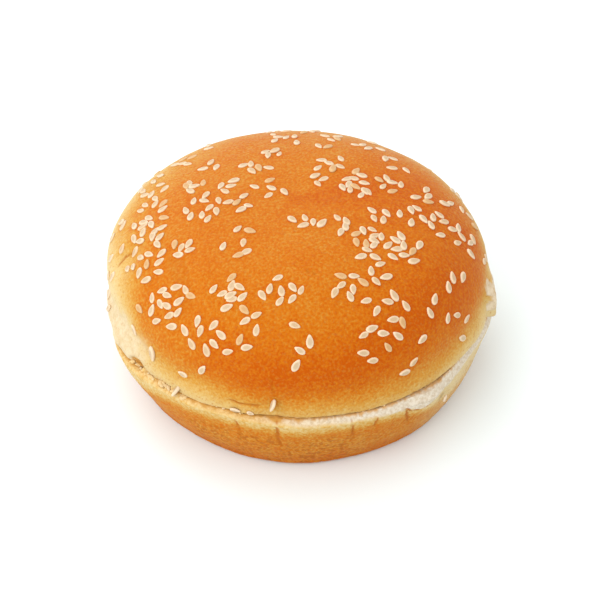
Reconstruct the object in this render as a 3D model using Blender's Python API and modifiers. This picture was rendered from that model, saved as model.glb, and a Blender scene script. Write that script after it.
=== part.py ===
"""Hamburger bun with sesame seeds: a domed crown lying on its heel, cut apart and a little torn.

The origin is the middle of the flat base. +Z is up and -Y is the front. Sizes are in millimetres.
"""

import math
import random

import bmesh
import bpy
import numpy as np
from mathutils import Euler, Matrix, Vector, noise
from mathutils.bvhtree import BVHTree

MM = 0.001

# Heel: the lower half, wider at its cut face than at its base. The cut slopes down to the back.
HEEL_HEIGHT = 20.2
HEEL_TOP_RADIUS = 51.6
HEEL_BASE_RADIUS = 45.3
HEEL_BULGE = 1.05
HEEL_FOOT_ROUNDING = 2.6
HEEL_RIM_ROUNDING = 0.7
HEEL_FACE_SLOPE = math.tan(math.radians(2.0))

# Crown: the domed upper half, measured from the middle of its cut face
CROWN_RADIUS = 50.0
CROWN_WALL = 6.7
CROWN_DOME = 21.6
CROWN_SQUARENESS = 3.2
CROWN_LIP_ROUNDING = 0.9
CROWN_MIDDLE = (-1.4, 1.0, HEEL_HEIGHT + 1.5)
CROWN_TILT = (math.radians(-1.5), math.radians(-1.1))
LEAST_GAP = 0.5

# Where the radius swells or shrinks round the bun: azimuth, reach in degrees, swell
LIP_FLARE = 1.0
LIP_SWELLS = ((-151, 13, 1.3), (-118, 9, 0.5), (-96, 9, -0.7), (-22, 9, 0.4))
RIM_SWELLS = ((-148, 20, 1.2), (-112, 16, -0.9), (-99, 8, -0.6), (-51.5, 8, 1.2), (-30, 20, -1.5))
FOOT_SWELLS = ((-84, 18, 0.3), (-128, 28, -0.7))

# Distances between which the heel's cut face drops from under the crown to its rim
FACE_DROP = (50.2, 51.4)
# How finely the two halves are divided
STEPS = 64
DOME_RINGS = 12
SIDE_RINGS = 6
CORNER_RINGS = 3

# Sesame seeds
SEED_LENGTH = 3.15
SEED_WIDTH = 1.8
SEED_THICKNESS = 1.0
SEED_STANDS = 0.06
SEED_SIDES = 6
SEED_BANDS = 3
SEEDS_FUSED = 170
SEED_SPACING = 2.0
SEED_CLEARANCE = 2.6
SEED_DRAW = 41
SEED_TRIES = 12

# Where seeds lie, seen from above: middle x and y, reach and count. Past the
# radius of the crown, the distance goes on down its side.
SEED_PATCHES = (
    (-23, 32, 4, 2),
    (-6, 38, 4, 4),
    (4, 38, 3, 3),
    (-2, 30, 4, 5),
    (10, 32, 3, 4),
    (20, 30, 5, 5),
    (8, 25, 2, 2),
    (-31, 24, 4, 5),
    (-40, 18, 4, 4),
    (-7, 21, 3, 4),
    (-10, 16, 4, 5),
    (-22, 17, 3, 3),
    (9, 16, 4, 6),
    (27, 18, 5, 4),
    (17, 12, 2, 2),
    (41, 16, 4, 3),
    (-38, 11, 4, 5),
    (-37, 4, 4, 5),
    (-47, 5, 4, 3),
    (-26, 8, 3, 5),
    (-17, 6, 3, 4),
    (-6, 4, 5, 5),
    (6, 8, 2, 3),
    (16, 5, 4, 10),
    (25, 6, 4, 6),
    (34, 6, 4, 4),
    (43, 4, 5, 5),
    (-23, -2, 5, 10),
    (-14, -2, 4, 5),
    (-37, -2, 5, 8),
    (-37, -9, 5, 9),
    (-48, -11, 6, 9),
    (-37, -17, 5, 9),
    (-28, -16, 3, 5),
    (-14, -15, 6, 6),
    (1, -10, 4, 4),
    (10, -10, 4, 5),
    (22, -6, 3, 4),
    (30, -5, 4, 5),
    (38, -6, 5, 8),
    (46, -7, 4, 6),
    (18, -15, 4, 10),
    (27, -18, 5, 10),
    (19, -25, 5, 6),
    (42, -24, 5, 6),
    (35, -31, 4, 3),
    (14, -31, 5, 8),
    (25, -37, 6, 12),
    (-3, -32, 5, 8),
    (-16, -31, 4, 9),
    (-30, -30, 5, 12),
    (-38, -28, 3, 4),
    (-24, -40, 5, 9),
    (-13, -40, 5, 8),
    (0, -44, 4, 4),
    (18, -42, 3, 4),
    (0, 48, 12, 6),
    (-27, 40, 9, 7),
    (29, 40, 9, 7),
    (44, 28, 7, 5),
    (-44, 26, 7, 5),
)

# Splits in the crust of the heel: azimuth, height of the middle, length
HEEL_SPLITS = (
    (-96.8, 18.3, 8.0),
    (-75.0, 17.5, 9.0),
    (-69.3, 19.0, 4.0),
    (-58.0, 15.5, 7.0),
    (-108.2, 17.5, 4.0),
)
SPLIT_WIDTH = 0.9
SPLIT_DEPTH = 1.1

CRUST_BROWN = (0.60, 0.19, 0.035, 1.0)
HEEL_BROWN = (0.48, 0.16, 0.04, 1.0)


def clear_scene():
    for obj in list(bpy.data.objects):
        bpy.data.objects.remove(obj)


def new_collection(name, hidden=False):
    collection = bpy.data.collections.new(name)
    collection.hide_render = hidden
    bpy.context.scene.collection.children.link(collection)
    return collection


def crust_material(name, colour, roughness):
    material = bpy.data.materials.new(name)
    material.use_nodes = True
    shader = material.node_tree.nodes["Principled BSDF"]
    shader.inputs["Base Color"].default_value = colour
    shader.inputs["Roughness"].default_value = roughness
    shader.inputs["Metallic"].default_value = 0.0
    return material


def smooth(value, start, end):
    t = np.clip((value - start) / (end - start), 0, 1)
    return t * t * (3 - 2 * t)


def near(points, centre, reach):
    """1 at the centre, falling to 0 at the reach along x, y and z."""
    distance = np.linalg.norm((points - np.array(centre)) / np.array(reach), axis=1)
    return 1 - smooth(distance, 0, 1)


def lumps(points, wavelength, seed):
    """Smooth unevenness between about -1 and 1."""
    shift = Vector((seed, 2 * seed, 3 * seed))
    return np.array([noise.noise(Vector(p) / wavelength + shift) for p in points])


def swells(azimuth, rows):
    """The sum of bumps and hollows, each given by its azimuth, reach and height."""
    total = np.zeros(len(azimuth))
    for middle, reach, height in rows:
        away = np.abs((np.degrees(azimuth) - middle + 180) % 360 - 180)
        total += height * (1 - smooth(away, 0, reach))
    return total


def dome_height(distance):
    """Height of the crown's skin above its cut face, at a distance from the axis."""
    share = min(distance / CROWN_RADIUS, 1.0)
    return CROWN_WALL + CROWN_DOME * math.sqrt(1 - share**CROWN_SQUARENESS)


def corner(radius, height, rounding, start, end, rings):
    """Points round a corner, whose rounding has its middle at (radius, height)."""
    angles = np.radians(np.linspace(start, end, rings + 1))
    return [(radius + rounding * math.cos(a), height + rounding * math.sin(a)) for a in angles]


def crown_profile():
    top = CROWN_WALL + CROWN_DOME
    points = [(0.0, top)]
    for i in range(1, DOME_RINGS + 1):
        angle = math.pi / 2 * i / DOME_RINGS
        distance = CROWN_RADIUS * math.sin(angle) ** (2 / CROWN_SQUARENESS)
        points.append((distance, dome_height(distance)))
    for share in (0.67, 0.33):
        points.append((CROWN_RADIUS, CROWN_LIP_ROUNDING + share * (CROWN_WALL - CROWN_LIP_ROUNDING)))
    inner = CROWN_RADIUS - CROWN_LIP_ROUNDING
    points += corner(inner, CROWN_LIP_ROUNDING, CROWN_LIP_ROUNDING, 0, -90, CORNER_RINGS)
    points += [(share * CROWN_RADIUS, 0.0) for share in (0.8, 0.5, 0.2)]
    return points + [(0.0, 0.0)]


def heel_radius(share):
    """Radius of the heel's side, from 0 at the base to 1 at the cut face."""
    slope = HEEL_BASE_RADIUS + (HEEL_TOP_RADIUS - HEEL_BASE_RADIUS) * share
    return slope + HEEL_BULGE * math.sin(math.pi * share)


def heel_profile():
    points = [(share * HEEL_TOP_RADIUS, HEEL_HEIGHT) for share in (0.0, 0.3, 0.6, 0.85)]
    points.append((FACE_DROP[0], HEEL_HEIGHT))
    inner = HEEL_TOP_RADIUS - HEEL_RIM_ROUNDING
    low = HEEL_HEIGHT - HEEL_RIM_ROUNDING
    points += corner(inner, low, HEEL_RIM_ROUNDING, 90, 0, 2)
    lowest = HEEL_FOOT_ROUNDING
    for i in range(1, SIDE_RINGS):
        height = low + (lowest - low) * i / SIDE_RINGS
        points.append((heel_radius(height / HEEL_HEIGHT), height))
    foot = heel_radius(lowest / HEEL_HEIGHT) - HEEL_FOOT_ROUNDING
    points += corner(foot, HEEL_FOOT_ROUNDING, HEEL_FOOT_ROUNDING, 0, -90, CORNER_RINGS)
    return points + [(0.5 * foot, 0.0), (0.0, 0.0)]


def evaluated_mesh(obj):
    graph = bpy.context.evaluated_depsgraph_get()
    return bpy.data.meshes.new_from_object(obj.evaluated_get(graph))


def turned(name, profile, collection):
    """A solid of revolution about Z from a profile that runs from top to bottom."""
    line = bpy.data.meshes.new(name)
    points = [(r * MM, 0, z * MM) for r, z in profile]
    line.from_pydata(points, [(i, i + 1) for i in range(len(points) - 1)], [])
    guide = bpy.data.objects.new(name, line)
    collection.objects.link(guide)
    screw = guide.modifiers.new("turn", "SCREW")
    screw.axis = "Z"
    screw.steps = STEPS
    screw.render_steps = STEPS
    screw.use_merge_vertices = True
    screw.merge_threshold = 0.00001
    mesh = evaluated_mesh(guide)
    bpy.data.objects.remove(guide)
    obj = bpy.data.objects.new(name, mesh)
    collection.objects.link(obj)
    return obj


def reshape(obj, rule):
    """Moves the vertices by a rule that works on an array of points in millimetres."""
    count = len(obj.data.vertices)
    points = np.empty(count * 3, np.float32)
    obj.data.vertices.foreach_get("co", points)
    points = rule(points.reshape(-1, 3).astype(float) / MM) * MM
    obj.data.vertices.foreach_set("co", points.astype(np.float32).ravel())
    obj.data.update()


def polar(points):
    return np.hypot(points[:, 0], points[:, 1]), np.arctan2(points[:, 1], points[:, 0])


def scaled_plan(points, extra):
    """Adds a length to each point's distance from the axis."""
    distance, _ = polar(points)
    factor = 1 + extra / np.maximum(distance, 1.0)
    return points * np.stack([factor, factor, np.ones(len(points))], 1)


def heel_rim_height(points):
    """Height of the heel's rim, which slopes down to the back."""
    return HEEL_HEIGHT - HEEL_FACE_SLOPE * points[:, 1]


def crown_turn():
    return np.array(Euler((*CROWN_TILT, 0.0)).to_matrix())


def heel_face_height(points, distance):
    """Height of the heel's cut face, which follows the crown's and drops to the rim."""
    normal = crown_turn()[:, 2]
    away = points[:, :2] - np.array(CROWN_MIDDLE[:2])
    under_crown = CROWN_MIDDLE[2] - away @ normal[:2] / normal[2] - LEAST_GAP
    rim = heel_rim_height(points)
    return rim + np.maximum(under_crown - rim, 0) * (1 - smooth(distance, *FACE_DROP))


def heel_unevenness(points):
    distance, azimuth = polar(points)
    share = points[:, 2] / HEEL_HEIGHT
    outer = smooth(distance, 20, HEEL_BASE_RADIUS)
    extra = 0.33 * np.cos(2 * azimuth) + 0.21 * np.sin(2 * azimuth)
    extra += 0.2 * np.cos(3 * azimuth) - 0.38 * np.sin(3 * azimuth)
    extra += smooth(share, 0.3, 0.9) * swells(azimuth, RIM_SWELLS)
    extra += (1 - smooth(share, 0.1, 0.6)) * swells(azimuth, FOOT_SWELLS)
    extra += 0.35 * lumps(points, 14, 3.0)
    placed = scaled_plan(points, extra * outer)
    lift = (heel_face_height(placed, distance) - HEEL_HEIGHT) * smooth(share, 0.15, 1.0)
    crumb = 0.2 * lumps(points, 5, 9.0) * smooth(share, 0.9, 1.0)
    placed[:, 2] += lift + crumb
    return placed


def torn_sides(points):
    """Shares of the tab at the right and the patch at the left, where buns grew together."""
    _, azimuth = polar(points)
    turn = np.degrees(azimuth)
    tab = smooth(turn, -17.5, -15.5) * (1 - smooth(turn, -12, 1)) * (1 - smooth(points[:, 2], 5, 11))
    from_middle = np.abs((turn - 197 + 180) % 360 - 180)
    patch = (1 - smooth(from_middle, 15, 32)) * (1 - smooth(points[:, 2], 5, 13))
    return tab, patch


def crown_unevenness(points):
    distance, azimuth = polar(points)
    height = points[:, 2].copy()
    outer = smooth(distance, 5, CROWN_RADIUS)
    side = smooth(distance, CROWN_RADIUS - 8, CROWN_RADIUS - 1)
    low = 1 - smooth(height, 1.5, 8)
    extra = 0.98 * np.cos(2 * azimuth) - 0.62 * np.sin(2 * azimuth)
    extra += 0.35 * lumps(points, 16, 5.0)
    front = smooth(-np.sin(azimuth), 0.1, 0.3)
    extra += side * low * (LIP_FLARE * front + swells(azimuth, LIP_SWELLS))
    tab, patch = torn_sides(points)
    extra += side * (2.4 * tab - 0.8 * patch * (1 - low))
    extra += 0.5 * (tab + patch) * lumps(points, 3.5, 1.0)
    points = scaled_plan(points, extra * outer)
    # A dent with a fold at the left, and a dome that isn't quite even
    dent = near(points, (-43.0, -12.0, 18.5), (8.0, 6.5, 8.0))
    points += dent[:, None] * np.array([1.3, 0.4, -0.9])
    points[:, 2] += 0.45 * lumps(points, 22, 7.0) * smooth(height, 8, 25)
    # The lower edge wavers and is ragged at the left
    ragged = 0.3 + 0.9 * near(points, (-34.0, -36.0, 0.0), (16.0, 16.0, 8.0))
    edge = (1 - smooth(height, 0.5, 6.0)) * smooth(distance, 30, 48)
    points[:, 2] += edge * ragged * lumps(points, 5, 2.0)
    return points


def clear_of_heel(points):
    """Raises the crown's cut face where it would meet the heel, as soft bread gives way there."""
    turn = crown_turn()
    placed = points @ turn.T + np.array(CROWN_MIDDLE)
    distance, azimuth = polar(placed)
    distance -= swells(azimuth, RIM_SWELLS)
    top = heel_face_height(placed, distance)
    rise = np.maximum(top + LEAST_GAP - placed[:, 2], 0)
    low = 1 - smooth(points[:, 2], 2.0, 10.0)
    return points + (rise * low)[:, None] * turn[2]


def seed_mesh():
    """One teardrop, one unit long on each side of its middle, with its point at +X."""
    form = bmesh.new()
    bmesh.ops.create_uvsphere(form, u_segments=SEED_SIDES, v_segments=SEED_BANDS, radius=1)
    bmesh.ops.rotate(form, verts=form.verts, matrix=Matrix.Rotation(math.pi / 2, 3, "Y"))
    for vertex in form.verts:
        x, y, z = vertex.co
        taper = 1 - 0.38 * smooth(x, -0.4, 1.1)
        vertex.co = Vector((x, y * taper, z * (0.6 + 0.4 * taper)))
    bmesh.ops.triangulate(form, faces=form.faces)
    mesh = bpy.data.meshes.new("seed")
    form.to_mesh(mesh)
    form.free()
    return mesh


def seed_places():
    """Seeds as (x, y, turn, size). Each is drawn in its patch and keeps off those before it."""
    draw = random.Random(SEED_DRAW)
    seeds = []
    for x, y, reach, count in SEED_PATCHES:
        for _ in range(count):
            for _ in range(SEED_TRIES):
                turn = draw.uniform(0, 2 * math.pi)
                away = reach * math.sqrt(draw.random())
                spot = (x + away * math.cos(turn), y + away * math.sin(turn))
                if all(math.dist(spot, other[:2]) > SEED_SPACING for other in seeds):
                    break
            seeds.append((*spot, draw.uniform(0, 2 * math.pi), draw.gauss(1.0, 0.06)))
    return seeds


def largest_clear(seeds):
    """The largest seeds that keep clear of one another and of the lower edge."""
    chosen = []
    for seed in sorted(seeds, key=lambda one: -one[3]):
        free = all(math.dist(seed[:2], other[:2]) > SEED_CLEARANCE for other in chosen)
        if free and math.hypot(seed[0], seed[1]) < CROWN_RADIUS + 1.5:
            chosen.append(seed)
    return chosen[:SEEDS_FUSED]


def place_seeds(crown, collection):
    """Each seed lies on the crown's skin, a little sunk in."""
    skin = skin_of(crown)
    mesh = seed_mesh()
    for x, y, turn, size in largest_clear(seed_places()):
        distance = math.hypot(x, y)
        down = max(distance - CROWN_RADIUS, 0)
        inward = min(CROWN_RADIUS / max(distance, 1), 1)
        above = Vector((x * inward, y * inward, dome_height(distance) - down)) * MM
        spot, normal, _, _ = skin.find_nearest(above)
        turned_flat = normal.to_track_quat("Z", "Y").to_matrix() @ Matrix.Rotation(turn, 3, "Z")
        half = Vector((SEED_LENGTH, SEED_WIDTH, SEED_THICKNESS)) * size * MM / 2
        seed = bpy.data.objects.new("seed", mesh)
        seed.matrix_world = Matrix.LocRotScale(
            spot + normal * SEED_STANDS * MM, turned_flat.to_quaternion(), half
        )
        collection.objects.link(seed)


def combine(obj, collection, operation):
    """Joins or cuts with every object of a collection, then removes them."""
    tool = obj.modifiers.new("combine", "BOOLEAN")
    tool.operation = operation
    tool.operand_type = "COLLECTION"
    tool.collection = collection
    tool.solver = "EXACT"
    bpy.context.view_layer.update()
    mesh = evaluated_mesh(obj)
    obj.modifiers.clear()
    obj.data = mesh
    for helper in list(collection.objects):
        bpy.data.objects.remove(helper)
    bpy.data.collections.remove(collection)


def skin_of(obj):
    form = bmesh.new()
    form.from_mesh(obj.data)
    skin = BVHTree.FromBMesh(form)
    form.free()
    return skin


def split_heel(heel):
    """Thin upright splits in the crust, each cut by a slim spindle."""
    cutters = new_collection("cutters")
    skin = skin_of(heel)
    for azimuth, height, length in HEEL_SPLITS:
        form = bmesh.new()
        bmesh.ops.create_uvsphere(form, u_segments=6, v_segments=4, radius=MM / 2)
        mesh = bpy.data.meshes.new("split")
        form.to_mesh(mesh)
        form.free()
        outward = Matrix.Rotation(math.radians(azimuth), 3, "Z") @ Vector((1, 0, 0))
        start = outward * 2 * HEEL_TOP_RADIUS * MM + Vector((0, 0, height * MM))
        spot, _, _, _ = skin.ray_cast(start, -outward)
        lean = math.atan2(HEEL_TOP_RADIUS - HEEL_BASE_RADIUS, HEEL_HEIGHT)
        cutter = bpy.data.objects.new("split", mesh)
        cutter.hide_render = True
        cutter.display_type = "WIRE"
        cutter.matrix_world = (
            Matrix.Translation(spot)
            @ Matrix.Rotation(math.radians(azimuth), 4, "Z")
            @ Matrix.Rotation(lean, 4, "Y")
            @ Matrix.Diagonal((2 * SPLIT_DEPTH, SPLIT_WIDTH, length, 1))
        )
        cutters.objects.link(cutter)
    combine(heel, cutters, "DIFFERENCE")


def finish(obj, material):
    obj.data.materials.clear()
    obj.data.materials.append(material)
    obj.data.shade_smooth()
    obj.data.set_sharp_from_angle(angle=math.radians(40))


def main():
    clear_scene()
    bun = new_collection("hamburger_bun")
    heel = turned("heel", heel_profile(), bun)
    reshape(heel, heel_unevenness)
    split_heel(heel)
    finish(heel, crust_material("heel_crust", HEEL_BROWN, 0.6))

    crown = turned("crown", crown_profile(), bun)
    reshape(crown, crown_unevenness)
    reshape(crown, clear_of_heel)
    seeds = new_collection("seeds")
    place_seeds(crown, seeds)
    combine(crown, seeds, "UNION")
    crown.location = Vector(CROWN_MIDDLE) * MM
    crown.rotation_euler = (*CROWN_TILT, 0.0)
    finish(crown, crust_material("crown_crust", CRUST_BROWN, 0.4))


main()
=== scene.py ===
"""A hamburger bun with sesame seeds: crust, crumb and seeds over the solids of its crown and heel.

Sizes are in millimetres until a mesh is made. The bun's front is towards -Y.
"""

import math
import random

import bmesh
import bpy
import numpy as np
from mathutils import Euler, Matrix, Vector, kdtree, noise
from mathutils.bvhtree import BVHTree


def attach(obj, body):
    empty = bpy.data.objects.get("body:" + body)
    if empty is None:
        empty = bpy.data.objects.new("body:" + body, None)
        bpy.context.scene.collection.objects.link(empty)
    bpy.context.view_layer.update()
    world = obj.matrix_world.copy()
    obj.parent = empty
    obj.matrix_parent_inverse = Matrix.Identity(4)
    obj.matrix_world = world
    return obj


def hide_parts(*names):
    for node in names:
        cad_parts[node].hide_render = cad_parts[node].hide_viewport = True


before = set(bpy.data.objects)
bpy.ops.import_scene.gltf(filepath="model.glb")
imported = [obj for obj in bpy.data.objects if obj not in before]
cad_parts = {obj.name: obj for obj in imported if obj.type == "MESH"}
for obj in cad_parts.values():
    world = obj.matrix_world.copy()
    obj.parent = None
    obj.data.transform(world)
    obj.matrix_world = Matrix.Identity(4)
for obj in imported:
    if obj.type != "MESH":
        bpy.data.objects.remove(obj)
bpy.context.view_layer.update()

MM = 0.001

# Heel
HEEL_HEIGHT = 20.2
HEEL_TOP_RADIUS = 51.6
HEEL_BASE_RADIUS = 45.3
HEEL_BULGE = 1.05
HEEL_FOOT_ROUNDING = 2.6
HEEL_RIM_ROUNDING = 0.7
HEEL_FACE_SLOPE = math.tan(math.radians(2.0))

# Crown, measured from the middle of its cut face
CROWN_RADIUS = 50.0
CROWN_WALL = 6.7
CROWN_DOME = 21.6
CROWN_SQUARENESS = 3.2
CROWN_LIP_ROUNDING = 0.35
CROWN_MIDDLE = (-1.4, 1.0, HEEL_HEIGHT + 1.5)
CROWN_TILT = (math.radians(-1.5), math.radians(-1.1))
LEAST_GAP = 0.15

# How far each half's plan is from round: count of waves, and their cosine and sine parts
HEEL_WAVES = ((2, 0.33, 0.21), (3, 0.2, -0.38))
CROWN_WAVES = ((2, 0.98, -0.62),)

# Where the radius swells or shrinks round the bun: azimuth, reach in degrees, swell
LIP_FLARE = 1.0
LIP_SWELLS = ((-151, 13, 1.3), (-118, 9, 0.5), (-96, 9, -0.7), (-22, 9, 0.4))
RIM_SWELLS = ((-148, 20, 1.2), (-112, 16, -0.9), (-99, 8, -0.6), (-51.5, 8, 1.2), (-30, 20, -1.5))
FOOT_SWELLS = ((-84, 18, 0.3), (-128, 28, -0.7))

# Where the heel's cut face drops from under the crown to its rim
FACE_DROP = (50.2, 51.4)

# The tab at the crown's right, where buns grew together: azimuths between which it rises
# and falls, heights between which it ends, and how far it stands out
TAB = ((-17.5, -15.5), (-12, 1), (5, 11))
TAB_STANDS = 2.4

# The hollowed patch at the crown's left: its middle and its reaches in degrees, heights
# between which it ends, and how deep it is
PATCH = (197, (15, 32), (5, 13))
PATCH_SINKS = 0.8

# How rough both are, and how far their borders wander
TORN_ROUGHNESS = 0.5
BORDERS_WANDER = 5.0

# The dent at the left with its push, the ragged part of the lip, and the torn notch in
# the lip with its depth: middle and reach, in the crown's frame
DENT = ((-43.0, -12.0, 18.5), (8.0, 6.5, 8.0))
DENT_PUSH = (1.3, 0.4, -0.9)
RAGGED_LIP = ((-34.0, -36.0, 0.0), (16.0, 16.0, 8.0))
LIP_NOTCH = ((-39.6, -30.6, 0.6), (3.4, 3.2, 2.2))
NOTCH_DEPTH = 0.7

# Azimuths at the back between which what lies at the left, counted clockwise, and what
# lies at the right fade out
LEFT_ENDS = (190, 240)
RIGHT_ENDS = (120, 170)

# Fineness of the skins
STEPS = 720
DOME_RINGS = 90
WALL_RINGS = 20
SIDE_RINGS = 56
LIP_RINGS = 5
FACE_RINGS = 15
FACE_STEP = 0.7
RIM_STEP = 0.14

# Seeds: their size, how they are laid and drawn, how toasted they are, and how much
# shade is painted round them on the crown
SEED_LENGTH = 3.15
SEED_WIDTH = 1.8
SEED_THICKNESS = 1.0
SEED_STANDS = 0.06
SEED_SETTLES = (-0.12, 0.08)
SEED_SPACING = 2.0
SEED_DRAW = 41
SEED_TRIES = 12
SEED_SIDES = 16
SEED_BANDS = 9
SEED_SHADE = 0.10
SEED_TOASTS = (0.0, 0.1, 0.2, 0.3, 0.15, 0.05, 0.9)
LOOSE_SEED_TOAST = 0.1
TOAST_DRAW = 7

# Where seeds lie, seen from above: middle x and y, reach and count. Past the
# radius of the crown, the distance goes on down its side.
SEED_PATCHES = (
    (-23, 32, 4, 2),
    (-6, 38, 4, 4),
    (4, 38, 3, 3),
    (-2, 30, 4, 5),
    (10, 32, 3, 4),
    (20, 30, 5, 5),
    (8, 25, 2, 2),
    (-31, 24, 4, 5),
    (-40, 18, 4, 4),
    (-7, 21, 3, 4),
    (-10, 16, 4, 5),
    (-22, 17, 3, 3),
    (9, 16, 4, 6),
    (27, 18, 5, 4),
    (17, 12, 2, 2),
    (41, 16, 4, 3),
    (-38, 11, 4, 5),
    (-37, 4, 4, 5),
    (-47, 5, 4, 3),
    (-26, 8, 3, 5),
    (-17, 6, 3, 4),
    (-6, 4, 5, 5),
    (6, 8, 2, 3),
    (16, 5, 4, 10),
    (25, 6, 4, 6),
    (34, 6, 4, 4),
    (43, 4, 5, 5),
    (-23, -2, 5, 10),
    (-14, -2, 4, 5),
    (-37, -2, 5, 8),
    (-37, -9, 5, 9),
    (-48, -11, 6, 9),
    (-37, -17, 5, 9),
    (-28, -16, 3, 5),
    (-14, -15, 6, 6),
    (1, -10, 4, 4),
    (10, -10, 4, 5),
    (22, -6, 3, 4),
    (30, -5, 4, 5),
    (38, -6, 5, 8),
    (46, -7, 4, 6),
    (18, -15, 4, 10),
    (27, -18, 5, 10),
    (19, -25, 5, 6),
    (42, -24, 5, 6),
    (35, -31, 4, 3),
    (14, -31, 5, 8),
    (25, -37, 6, 12),
    (-3, -32, 5, 8),
    (-16, -31, 4, 9),
    (-30, -30, 5, 12),
    (-38, -28, 3, 4),
    (-24, -40, 5, 9),
    (-13, -40, 5, 8),
    (0, -44, 4, 4),
    (18, -42, 3, 4),
    (0, 48, 12, 6),
    (-27, 40, 9, 7),
    (29, 40, 9, 7),
    (44, 28, 7, 5),
    (-44, 26, 7, 5),
)

# Creases in the crown's crust: stops, width and depth, or height if negative
CROWN_CREASES = {
    "dent_crack": (
        ((-41.5, -10.3, 19.8), (-43.6, -9.7, 17.9), (-45.0, -10.3, 16.4), (-46.4, -11.4, 14.6)),
        0.6,
        0.35,
    ),
    "valley": (
        ((-30.5, -17.0, 24.5), (-28.0, -23.8, 23.7), (-26.1, -30.6, 21.6), (-25.2, -36.0, 18.5)),
        5.0,
        0.4,
    ),
    "ridge": (((-28.0, -16.6, 25.3), (-27.5, -25.7, 23.1)), 1.4, -0.25),
    "slit": (((3.1, -26.5, 26.7), (5.8, -27.1, 26.5)), 0.5, 0.35),
    "faint_line": (((-9.7, 2.7, 28.2), (-2.9, 0.0, 28.3)), 0.6, 0.12),
    "wrinkle": (((-6.4, -47.4, 12.4), (-5.4, -47.8, 9.4), (-5.6, -48.6, 5.3)), 0.7, -0.35),
    "lip_fold": (
        ((-16.3, -46.8, 3.8), (-13.6, -47.7, 3.0), (-9.9, -48.5, 3.1), (-6.5, -48.7, 3.9)),
        0.7,
        0.5,
    ),
}

# How much shade is painted, in brown, in the creases of the crown
CREASE_SHADE = {
    "dent_crack": 0.9,
    "valley": 0.2,
    "slit": 0.6,
    "faint_line": 0.35,
    "wrinkle": 0.3,
    "lip_fold": 0.9,
}

# Splits in the heel's crust, from its rim downwards: stops, width and depth. Stops
# of this and of the other creases are moved to the nearest place on the skin.
HEEL_SPLITS = {
    "front": (((-6.0, -49.3, 22.8), (-5.9, -49.7, 19.5), (-5.8, -49.2, 14.0)), 0.95, 0.4),
    "front_end": (((-5.8, -49.2, 16.0), (-5.1, -49.0, 12.0)), 1.2, 0.15),
    "right": (((12.0, -48.7, 22.3), (12.6, -48.5, 18.9), (12.9, -47.6, 12.8)), 0.85, 0.35),
    "right_short": (((18.8, -47.4, 21.6), (17.6, -46.9, 16.4)), 0.75, 0.25),
    "torn_rim": (((26.2, -44.4, 20.0), (27.0, -43.2, 15.6), (27.2, -41.4, 11.0)), 0.85, 0.35),
    "left_short": (((-16.7, -48.8, 21.2), (-15.3, -48.3, 15.6)), 0.75, 0.25),
}

# Where the heel's rim is torn down at the right: azimuth, reach and depth
RIM_TEAR = (-54.5, 5.0, 1.1)

# Where crumb reaches lower on the heel's right: azimuths between which it begins and
# ends, and how much lower
RIGHT_CRUMB = ((-72, -50), (-14, -4), 2.0)

# The crease under what is left of the torn rim, its width and depth, and the width,
# height and rise above it of the ridge along it
TEAR_CREASE = (
    (25.8, -44.2, 21.0),
    (27.4, -42.9, 18.9),
    (29.6, -42.1, 18.1),
    (31.4, -41.1, 18.3),
    (32.6, -40.5, 19.4),
)
TEAR_CREASE_SIZE = (0.7, 0.5)
TEAR_RIDGE_SIZE = (1.2, 0.35)
TEAR_RIDGE_RISE = 0.9

# Places in the gap where shade is painted in brown: middle, reach and how much
SHADED_SPOTS = (
    ((-42.2, -29.6, 21.5), (2.6, 2.2, 3.0), 1.2),
    ((-30.0, -39.2, 21.7), (2.4, 2.0, 2.0), 1.0),
    ((-5.9, -48.8, 22.4), (2.4, 1.6, 1.6), 1.5),
)

# Seeds that lie loose: both ends of each, and the way its flat side faces
LOOSE_SEEDS = {
    "on_heel": ((36.2, -37.3, 17.5), (36.6, -35.7, 14.5), (0.7, -0.6, 0.3)),
    "across_gap": ((-29.8, -38.4, 24.0), (-32.2, -41.5, 22.4), (-0.7, 0.25, 0.55)),
    "in_seam": ((-17.6, -46.5, 23.6), (-14.9, -47.4, 23.7), (-0.3, -0.9, -0.3)),
    "seam_bit": ((-13.4, -47.7, 23.8), (-11.6, -48.1, 23.4), (-0.2, -0.8, 0.4)),
    "upright": ((-6.4, -48.2, 29.0), (-7.6, -49.0, 25.6), (-0.8, -0.1, 0.3)),
    "edge_on": ((-37.3, -32.9, 31.4), (-37.1, -34.1, 27.1), (-0.85, -0.5, 0.15)),
}

# Torn bits of crumb in the gap: first and last azimuth, count and largest size. Then
# the heights they lie at, and the form of one.
SHRED_STRETCHES = ((-147, -125, 56, 1.7), (-116, -94, 7, 0.7), (-75, -50, 6, 0.5))
SHRED_HEIGHTS = (21.5, 22.3)
SHRED_FORM = (1.4, 0.9, 0.8)
SHRED_DRAW = 5

# Height at which the crown's crust turns from pale to brown in front, how much higher it
# lies behind, beside the patch and at the left, and how far up and down the change reaches
CROWN_TURNS_BROWN = 2.0
HIGHER_BEHIND = 17.0
HIGHER_BESIDE_PATCH = 6.5
HIGHER_AT_LEFT = 3.4
CHANGE_REACHES = 8.5

# Where these stretches lie: from the back to the front by the sine of the azimuth, then
# azimuths, or a middle and reaches in degrees, between which they begin or end
BACK_TO_FRONT = (-0.5, 0.95)
BESIDE_PATCH = (-158, (4, 24))
PALE_CROWN_LEFT = (98, 122)
SHADED_CROWN_RIGHT = ((-40, 0), (20, 60))

# How brown the crown is above the change, what shade painted at its right adds, what a
# sheen painted behind takes off, and what the band of shade painted in front adds
CROWN_BROWN = 0.68
SHADE_AT_RIGHT = 0.17
SHEEN_BEHIND = 0.05
BAND_SHADE = 0.29

# The band of painted shade in front: height, rise and the azimuths between which it rises,
# half its width, the azimuth of its middle, and the reaches in degrees between which it ends
BAND_HEIGHT = 12.5
BAND_RISE = 6.0
BAND_RISES = (-85, -40)
BAND_HALF = 6.0
BAND_MIDDLE = -70
BAND_ENDS = (25, 65)
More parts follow.
